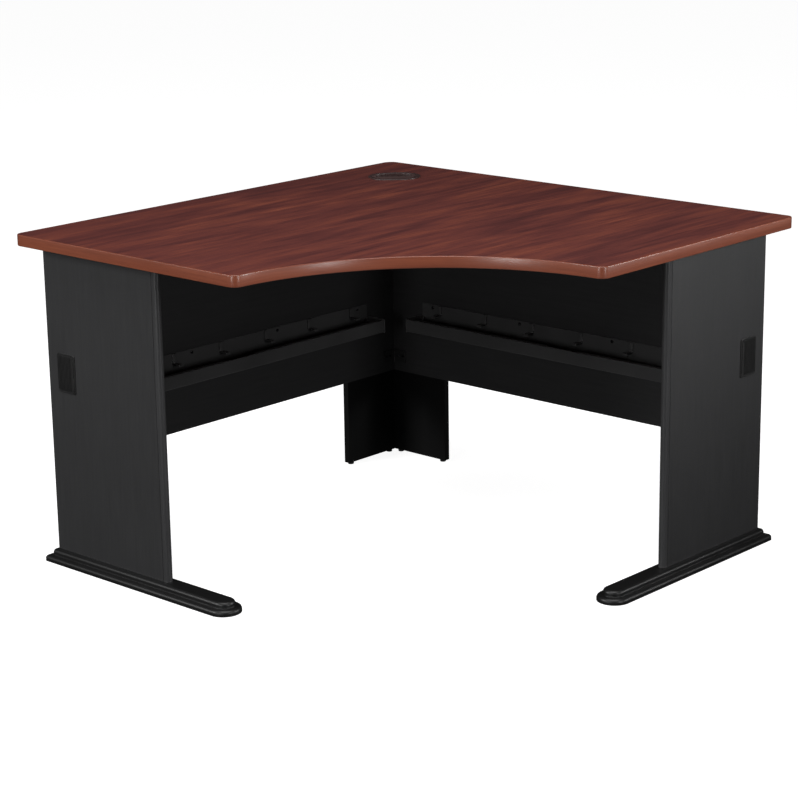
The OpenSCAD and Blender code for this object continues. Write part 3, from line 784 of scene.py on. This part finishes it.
modesty_low, modesty_high = wing_box("right_modesty_panel")
modesty_front = modesty_high[1]
angle_low, angle_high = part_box("corner_brackets")
angle_t = 0.002
angle_end = angle_high.x + half
angle_skin = modesty_front + angle_t
cut_r = 0.0005
bend_r = 0.002
angle_arcs = rounded([
    (modesty_front, modesty_front, 0.0),
    (angle_end, modesty_front, cut_r),
    (angle_end, angle_skin, cut_r),
    (angle_skin, angle_skin, bend_r),
    (angle_skin, angle_end, cut_r),
    (modesty_front, angle_end, cut_r),
])
angle_w = 0.030
angles_z = (angle_low.z + angle_w / 2, angle_high.z - angle_w / 2)
angles = [
    on_wing(carried(angle_arcs, [(0.0, z - angle_w / 2), (0.0, z + angle_w / 2)]), "right")
    for z in angles_z
]
make_piece("steel_angles", angles, black_steel, "desk", ["corner_brackets"])

screw_r = 0.0019
pan_screw = driven(0.004, 0.0022, "cross", 0.0026, 0.0013, screw_r, 0.012)
angle_screws_u = (modesty_front + 0.018, modesty_front + 0.032)
angle_screws = [facing(pan_screw, u, angle_skin, z, 1) for u in angle_screws_u for z in angles_z]
black_zinc = metal("black_zinc", (0.055, 0.055, 0.058), 0.40, 0.00001)
make_piece("angle_screws", both_wings(angle_screws), black_zinc, "desk", ["bracket_screws"])

leg_screw = driven(0.004, 0.0002, "cross", 0.0028, 0.0014, screw_r, 0.028, square=12)
leg_screws_u = (0.075, 0.165)
leg_screws_z = (0.290, 0.480, 0.670)
head_proud = 0.0001
leg_screws = [
    facing(leg_screw, u, leg_low[1] - head_proud, z, -1) for u in leg_screws_u for z in leg_screws_z
]
make_piece("countersunk_screws", both_wings(leg_screws), zinc, "desk", ["leg_screws"])

# ---- Wire trays ----------------------------------------------------------------
# An extruded black channel screwed to each modesty panel by its tall flange. Its
# front lip turns in, and is cut away where cables drop. A moulded cap closes the
# end by the corner, and hooked fingers on the flange hold the cables down.

tray_low, tray_high = wing_box("right_wire_tray")
wall = 0.002
bend = 0.0022
lip_h = 0.032
lip_top = tray_low[2] + lip_h
return_w = 0.012
return_v = tray_high[1] - return_w
inner_v = tray_high[1] - wall
tray_arcs = rounded([
    (tray_low[1], tray_low[2], bend),
    (tray_high[1], tray_low[2], bend),
    (tray_high[1], lip_top, bend),
    (return_v, lip_top, 0.0008),
    (return_v, lip_top - wall, 0.0008),
    (inner_v, lip_top - wall, 0.0004),
    (inner_v, tray_low[2] + wall, 0.0006),
    (tray_low[1] + wall, tray_low[2] + wall, 0.0006),
    (tray_low[1] + wall, tray_high[2], 0.0006),
    (tray_low[1], tray_high[2], 0.0006),
])
notch = (0.582, 0.684)
notch_slant = 0.014
tray_u = [tray_low[0], notch[0], notch[0] + notch_slant, notch[1] - notch_slant, notch[1], tray_high[0]]

# Within the notch the in-turned edge is drawn back to the lip's inner face: a point
# on it moves across by cut, which rises from 0 to 1 along each slanted end.
tray_grid = carried(tray_arcs, [(0.0, u) for u in tray_u], step=18)
tray_v, tray_z, tray_along = np.moveaxis(tray_grid, -1, 0)
cut = np.clip(np.minimum(tray_along - notch[0], notch[1] - tray_along) / notch_slant, 0, 1)
on_return = (tray_z > lip_top - wall - 0.0001) & (tray_v < inner_v - 0.0006) & (tray_v > tray_low[1] + 0.01)
tray_v = np.where(on_return, tray_v + cut * (inner_v - 0.0004 - tray_v), tray_v)
tray_shell = np.stack([tray_along, tray_v, tray_z], -1)

cap_low, cap_high = wing_box("right_tray_end_cap")
cap_t = tray_low[0] - cap_low[0]
cap_arcs = rounded([
    (cap_low[1], cap_low[2], 0.002),
    (cap_high[1], cap_low[2], 0.003),
    (cap_high[1], cap_high[2], 0.003),
    (cap_low[1], cap_high[2], 0.002),
])
cap_round = 0.0008
cap_profile = quarter(cap_round, cap_low[0] + cap_round, cap_round, -90, 0, 4) + [(0.0, cap_low[0] + cap_t)]
tab_t = 0.002
tab_h = 0.026
tab_l = 0.008
tab_arcs = rectangle(tab_t, tab_h, 0.0005)
tab_z = (tray_low[2] + lip_top) / 2
tabs_v = (tray_low[1] + wall + tab_t, inner_v - tab_t)


def across_wing(grid):
    """A grid carried round an outline in (v, z), its height along u, in wing coordinates."""
    return np.stack([grid[..., 2], grid[..., 0], grid[..., 1]], -1)


tab = carried(tab_arcs, [(0.0, 0.0), (0.0, tab_l)])
cap_shells = [across_wing(carried(cap_arcs, cap_profile))]
cap_shells += [across_wing(moved(tab, v, tab_z, tray_low[0])) for v in tabs_v]

clip_low, clip_high = wing_box("right_tray_clips")
clip_w = 0.014
clip_t = 0.0025
finger_t = 0.002
hook_h = 0.004
finger_z = clip_low[2] + hook_h
clip_arcs = rounded([
    (clip_low[1], finger_z, 0.0012),
    (clip_high[1] - finger_t, finger_z, 0.0006),
    (clip_high[1] - finger_t, clip_low[2], 0.0008),
    (clip_high[1], clip_low[2], 0.0008),
    (clip_high[1], finger_z + finger_t, 0.0015),
    (clip_low[1] + clip_t, finger_z + finger_t, 0.0010),
    (clip_low[1] + clip_t, clip_high[2], 0.0010),
    (clip_low[1], clip_high[2], 0.0010),
])
clip_edge = 0.0004
clip_profile = (
    quarter(clip_edge, clip_edge, clip_edge, -90, 0, 3)
    + quarter(clip_edge, clip_w - clip_edge, clip_edge, 0, 90, 3)
)
clip = carried(clip_arcs, clip_profile, step=30)
clips_u = np.linspace(clip_low[0], clip_high[0] - clip_w, 6)
clip_shells = [across_wing(moved(clip, 0, 0, u)) for u in clips_u]
cap_black = moulding("tray_cap_black", (0.085, 0.085, 0.086), (0.100, 0.100, 0.101), 0.40, 0.00003)
tray_black = painted("tray_black", (0.055, 0.055, 0.056), (0.067, 0.067, 0.068), 0.38, 0.00003)
for side in both:
    wing_piece(side, "tray_channel", [tray_shell], tray_black, "wire_tray")
    wing_piece(side, "tray_cap", cap_shells, cap_black, "tray_end_cap")
    wing_piece(side, "cable_fingers", clip_shells, tray_black, "tray_clips")

tray_screws_u = (0.180, 0.460, 0.739, 1.020)
tray_screw_z = tray_high[2] - 0.008
tray_screws = [facing(pan_screw, u, modesty_front + wall, tray_screw_z, 1) for u in tray_screws_u]
make_piece("flange_screws", both_wings(tray_screws), black_zinc, "desk", ["tray_screws"])

# ---- Feet ----------------------------------------------------------------------
# A long glossy black moulding under each end panel: a lower step and a narrower
# upper one, both with bullnose edges and a half-round tip that reaches out in
# front. Underneath it is hollow, with cross ribs and a collar round each leveller.

foot_low, foot_high = wing_box("right_foot")
foot_w = foot_high[0] - foot_low[0]
step_z = 0.015
edge_r = 0.008
corner_r = edge_r + 0.001
step_side = 0.0135
step_rear = 0.012
step_front = 0.014
foot_wall = 0.004
pocket_z = 0.011


def foot_arcs(width, rear, front):
    """Arcs of a foot's outline in (u, v): small corners at the wall end, half-round at the tip."""
    left, right = panel_mid - width / 2, panel_mid + width / 2
    return [
        (left + corner_r, rear + corner_r, corner_r, math.pi, 3 * quarter_turn),
        (right - corner_r, rear + corner_r, corner_r, -quarter_turn, 0.0),
        (panel_mid, front - width / 2, width / 2, 0.0, math.pi),
    ]


lower_arcs = foot_arcs(foot_w, foot_low[1], foot_high[1])
upper_arcs = foot_arcs(foot_w - 2 * step_side, foot_low[1] + step_rear, foot_high[1] - step_front)
rim_r = 0.0006
lower_step = carried(
    lower_arcs,
    [(foot_wall + 0.0001, pocket_z), (foot_wall, foot_low[2] + 0.001), (foot_wall - 0.0006, foot_low[2])]
    + quarter(rim_r, foot_low[2] + rim_r, rim_r, -90, 0, 4)
    + quarter(edge_r, step_z - edge_r, edge_r, 0, 90, 11),
)
fillet = 0.0010
upper_step = carried(
    upper_arcs,
    [(-fillet, step_z)]
    + quarter(-fillet, step_z + fillet, -fillet, 90, 0, 4)[1:]
    + quarter(edge_r, foot_high[2] - edge_r, edge_r, 0, 90, 11),
)
foot_shell = np.concatenate([lower_step, upper_step])
rib_t = 0.0025
rib_arcs = rectangle(foot_w - 2 * foot_wall + 0.002, rib_t, 0.0008)
rib_low = foot_low[2] + 0.001
rib_profile = quarter(rim_r, rib_low + rim_r, rim_r, -90, 0, 3) + [(0.0, pocket_z)]
rib = carried(rib_arcs, rib_profile)
ribs_v = [0.095 + 0.065 * k for k in range(7)]
levellers_v = (0.052, 0.541)
collar_profile = [
    (0.0085, pocket_z), (0.0085, 0.0035), (0.0092, 0.003), (0.0105, 0.003), (0.0112, 0.0037),
    (0.0118, pocket_z), (0.0085, pocket_z),
]
collar = turned(collar_profile)
foot_shells = [foot_shell] + [moved(rib, panel_mid, v) for v in ribs_v]
foot_shells += [moved(collar, panel_mid, v) for v in levellers_v]
foot_black = moulding(
    "black_foot", (0.0055, 0.0055, 0.0056), (0.0080, 0.0080, 0.0082), 0.40, 0.000015, grain=900.0
)
for side in both:
    wing_piece(side, "stepped_foot", foot_shells, foot_black, "foot")

# ---- Foot bolts, inserts and levellers -----------------------------------------
# Socket-head bolts come up through each foot into its panel. A flanged zinc
# insert at each end of the foot takes the leveller's M8 stem, and the stem's
# ball end sits in a black nylon pad.

bolt_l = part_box("foot_bolts")[1].z - pocket_z
bolts_v = (0.127, 0.322)
head_down = np.array([1, 1, -1])
bolt = driven(0.006, 0.004, "hex", 0.0022, 0.0030, 0.003, bolt_l, square=14) * head_down
bolts = both_wings([moved(bolt, panel_mid, v, pocket_z) for v in bolts_v])
make_piece("socket_bolts", bolts, zinc, "desk", ["foot_bolts"])

insert_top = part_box("foot_inserts")[1].z
bore_r = 0.00405
insert_r = 0.0069
flange_r = 0.0081
flange_low = pocket_z - 0.0008
flange_edge = pocket_z - 0.0004
insert_profile = [
    (bore_r, insert_top), (bore_r, flange_edge), (bore_r + 0.0004, flange_low),
    (flange_r - 0.0003, flange_low), (flange_r, flange_edge), (flange_r, pocket_z), (insert_r, pocket_z),
    (insert_r, insert_top), (bore_r, insert_top),
]
inserts = both_wings([moved(turned(insert_profile), panel_mid, v) for v in levellers_v])
make_piece("flanged_inserts", inserts, zinc, "desk", ["foot_inserts"])

pad_low, pad_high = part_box("right_rear_pad")
pad_r = (pad_high.x - pad_low.x) / 2
pad_h = pad_high.z
socket_r = 0.0046
socket_z = 0.0018
pad_profile = [
    (0.0, socket_z), (socket_r, socket_z), (socket_r, pad_h - 0.0005), (socket_r + 0.0005, pad_h),
    (pad_r - 0.0065, pad_h), (pad_r - 0.0055, pad_h - 0.0003), (pad_r - 0.0004, 0.0020), (pad_r, 0.0014),
    (pad_r - 0.0003, 0.0005), (pad_r - 0.001, 0.0),
]
tread_grooves = (0.0140, 0.0115, 0.0090, 0.0065)
tread_deep = 0.0004
for groove_r in tread_grooves:
    pad_profile += [(groove_r + 0.0005, 0.0), (groove_r + 0.0003, tread_deep)]
    pad_profile += [(groove_r - 0.0003, tread_deep), (groove_r - 0.0005, 0.0)]
pad_profile += [(0.0, 0.0)]
pad = turned(pad_profile, 64)

stem_low, stem_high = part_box("right_rear_stem")
stem_r = 0.004
pitch = 0.00125
thread_depth = 0.0005
nut_low, nut_high = 0.006, 0.010
nut_reach = 0.0075
nut_edge = 0.0004
ball_r = 0.0045
ball_h = 0.0022

# The thread's radius is a triangle wave of the height and the turn together, one
# wave a pitch, so the crest climbs as a helix. It fades out at the top.
rows = np.linspace(nut_high, stem_high.z, 150)
round_by = np.linspace(0, 2 * np.pi, 41)
phase = (rows[:, None] / pitch + round_by[None, :] / (2 * np.pi)) % 1.0
crest = stem_r - thread_depth * (1 - np.abs(2 * phase - 1))
run_out = np.clip((stem_high.z - rows) / 0.0008, 0, 1)[:, None]
crest = crest - 0.0006 * (1 - run_out)
thread = np.stack([crest * np.cos(round_by), crest * np.sin(round_by), rows[:, None] + 0 * crest], -1)
ball = [(0.0, stem_low.z)] + [
    (ball_r * math.sin(a), stem_low.z + ball_h * (1 - math.cos(a))) for a in np.radians([25, 50, 70, 90])
]
neck = turned(ball + [(ball_r, nut_low), (0.0, nut_low)])
six_ways = np.radians(np.arange(0, 360, 60))
nut_arcs = rounded([(nut_reach * math.cos(a), nut_reach * math.sin(a), nut_edge) for a in six_ways])
nut_profile = [
    (nut_edge, nut_low), (0.0, nut_low + nut_edge), (0.0, nut_high - nut_edge), (nut_edge, nut_high),
]
stem = [thread, carried(nut_arcs, nut_profile), neck]
for side in both:
    for end, v in zip(("rear", "front"), levellers_v):
        pad_here = [moved(pad, panel_mid, v)]
        stem_here = [moved(grid, panel_mid, v) for grid in stem]
        wing_piece(side, f"{end}_nylon_pad", pad_here, pad_black, f"{end}_pad", rides=True)
        wing_piece(side, f"{end}_threaded_stem", stem_here, zinc, f"{end}_stem", rides=True)

# ---- Hidden fixings ------------------------------------------------------------
# Die-cast cam locks pull the boards onto steel cam bolts, and beech dowels line
# them up. Only the faces of the cams show, each with a cross recess.

casting = metal("zinc_casting", (0.50, 0.50, 0.52), 0.42, 0.00002)
cam_r = 0.0074
cam_l = 0.0123
cam = driven(cam_r, 0.0002, "cross", 0.0045, 0.0022, cam_r, cam_l, square=24)
cam_set = 0.034
top_cams_z = under_top - cam_set
end_cams_u = panel_in - cam_set
modesty_rear = modesty_low[1]


def inward(grid, v, z):
    """The grid stood on an end panel's inner face: its Z points back along the wing."""
    return np.stack([panel_in - grid[..., 2], v + grid[..., 0], z + grid[..., 1]], -1)


cams = [inward(cam, v, top_cams_z) for v in (0.075, 0.345)]
cams += [facing(cam, u, modesty_rear, top_cams_z, -1) for u in (0.260, 0.600, 0.940)]
cams += [facing(cam, end_cams_u, modesty_rear, z, -1) for z in (0.300, 0.640)]
make_piece("cam_housings", both_wings(cams), casting, "desk", ["cam_locks"])
finish_node("cam_bolts", zinc)
beech_stops = [(0.35, (0.42, 0.26, 0.13)), (0.65, (0.60, 0.42, 0.24))]
finish_node("dowels", laminate("beech", beech_stops, 0.55, (20.0, 400.0, 0.5), turn=upright))

# ---- Studio --------------------------------------------------------------------
# A pale floor without a horizon, soft boxes at the left, right and overhead, two
# tall strips in front and a faint bounce from below. The camera is at the height
# of a standing person. It sees a white background, which is dim as a light.

sky_light = 0.068
sky_gloss = 0.02
sky_seen = 1.0
world = bpy.data.worlds.new("studio")
bpy.context.scene.world = world
world.use_nodes = True
sky = world.node_tree
path = add_node(sky, "LightPath")
mirrored = add_node(sky, "Mix", {0: path.outputs["Is Glossy Ray"], 2: sky_light, 3: sky_gloss})
seen = add_node(sky, "Mix", {0: path.outputs["Is Camera Ray"], 2: mirrored.outputs[0], 3: sky_seen})
sky.links.new(seen.outputs[0], sky.nodes["Background"].inputs["Strength"])
sky.nodes["Background"].inputs["Color"].default_value = (1.0, 1.0, 1.0, 1.0)

floor_reach = 60.0
floor_mesh = bpy.data.meshes.new("studio_floor")
floor_corners = [(x * floor_reach, y * floor_reach, 0.0) for x, y in ((-1, -1), (1, -1), (1, 1), (-1, 1))]
floor_mesh.from_pydata(floor_corners, [], [(0, 1, 2, 3)])
floor = bpy.data.objects.new("studio_floor", floor_mesh)
bpy.context.scene.collection.objects.link(floor)
floor_paint, floor_tree, floor_shader = new_material(
    "pale_floor", Base_Color=(0.7, 0.7, 0.7, 1.0), Roughness=0.9, Emission_Color=(1.0, 1.0, 1.0, 1.0),
    Emission_Strength=0.92,
)

# Seen from below the floor is clear, so that the underside of the desk shows.
below = add_node(floor_tree, "NewGeometry").outputs["Backfacing"]
clear = add_node(floor_tree, "BsdfTransparent").outputs[0]
one_sided = add_node(floor_tree, "MixShader", {0: below, 1: floor_shader.outputs[0], 2: clear})
floor_tree.links.new(one_sided.outputs[0], floor_tree.nodes["Material Output"].inputs["Surface"])
floor_mesh.materials.append(floor_paint)
floor.visible_diffuse = False
floor.visible_glossy = False
floor.visible_shadow = False


def soft_box(name, place, aim, width, height, power, spread=180.0):
    """A rectangular area light at place, turned to face aim. A grid over it narrows its beam to spread
    degrees."""
    light = bpy.data.lights.new(name, "AREA")
    light.shape = "RECTANGLE"
    light.size, light.size_y, light.energy = width, height, power
    light.spread = math.radians(spread)
    lamp = bpy.data.objects.new(name, light)
    lamp.location = place
    lamp.rotation_euler = (Vector(aim) - Vector(place)).to_track_quat("-Z", "Y").to_euler()
    lamp.visible_camera = False
    bpy.context.scene.collection.objects.link(lamp)


soft_box("left_soft_box", (-2.4, -4.6, 2.3), (-0.2, -0.6, 0.4), 2.0, 1.6, 128)
soft_box("right_soft_box", (3.0, 2.1, 1.5), (0.55, 0.0, 1.05), 1.2, 1.2, 6.5, spread=45)
soft_box("overhead_soft_box", (0.9, -1.0, 3.4), (0.0, 0.0, 0.7), 3.0, 3.0, 100)
soft_box("floor_bounce", (0.0, 0.0, -1.0), (0.0, 0.0, 0.4), 3.0, 3.0, 3.5)
soft_box("left_strip_box", (1.0, -4.7, 0.9), (0.0, 0.5, 0.5), 0.5, 1.5, 36)
soft_box("right_strip_box", (4.6, -0.7, 0.9), (-0.5, 0.0, 0.5), 0.5, 1.5, 36)

camera_data = bpy.data.cameras.new("camera")
camera_data.sensor_width = 36.0
camera_data.lens = 103.6
camera_data.clip_end = 200.0
camera = bpy.data.objects.new("camera", camera_data)
camera_place = Vector((3.295, -3.625, 1.700))
camera_aim = Vector((0.034, -0.071, 0.380))
camera_roll = math.radians(-0.83)
look = (camera_aim - camera_place).to_track_quat("-Z", "Y").to_matrix().to_4x4()
rolled = look @ Matrix.Rotation(camera_roll, 4, "Z")
camera.matrix_world = Matrix.Translation(camera_place) @ rolled
bpy.context.scene.collection.objects.link(camera)
bpy.context.scene.camera = camera
bpy.context.scene.view_settings.view_transform = "Standard"
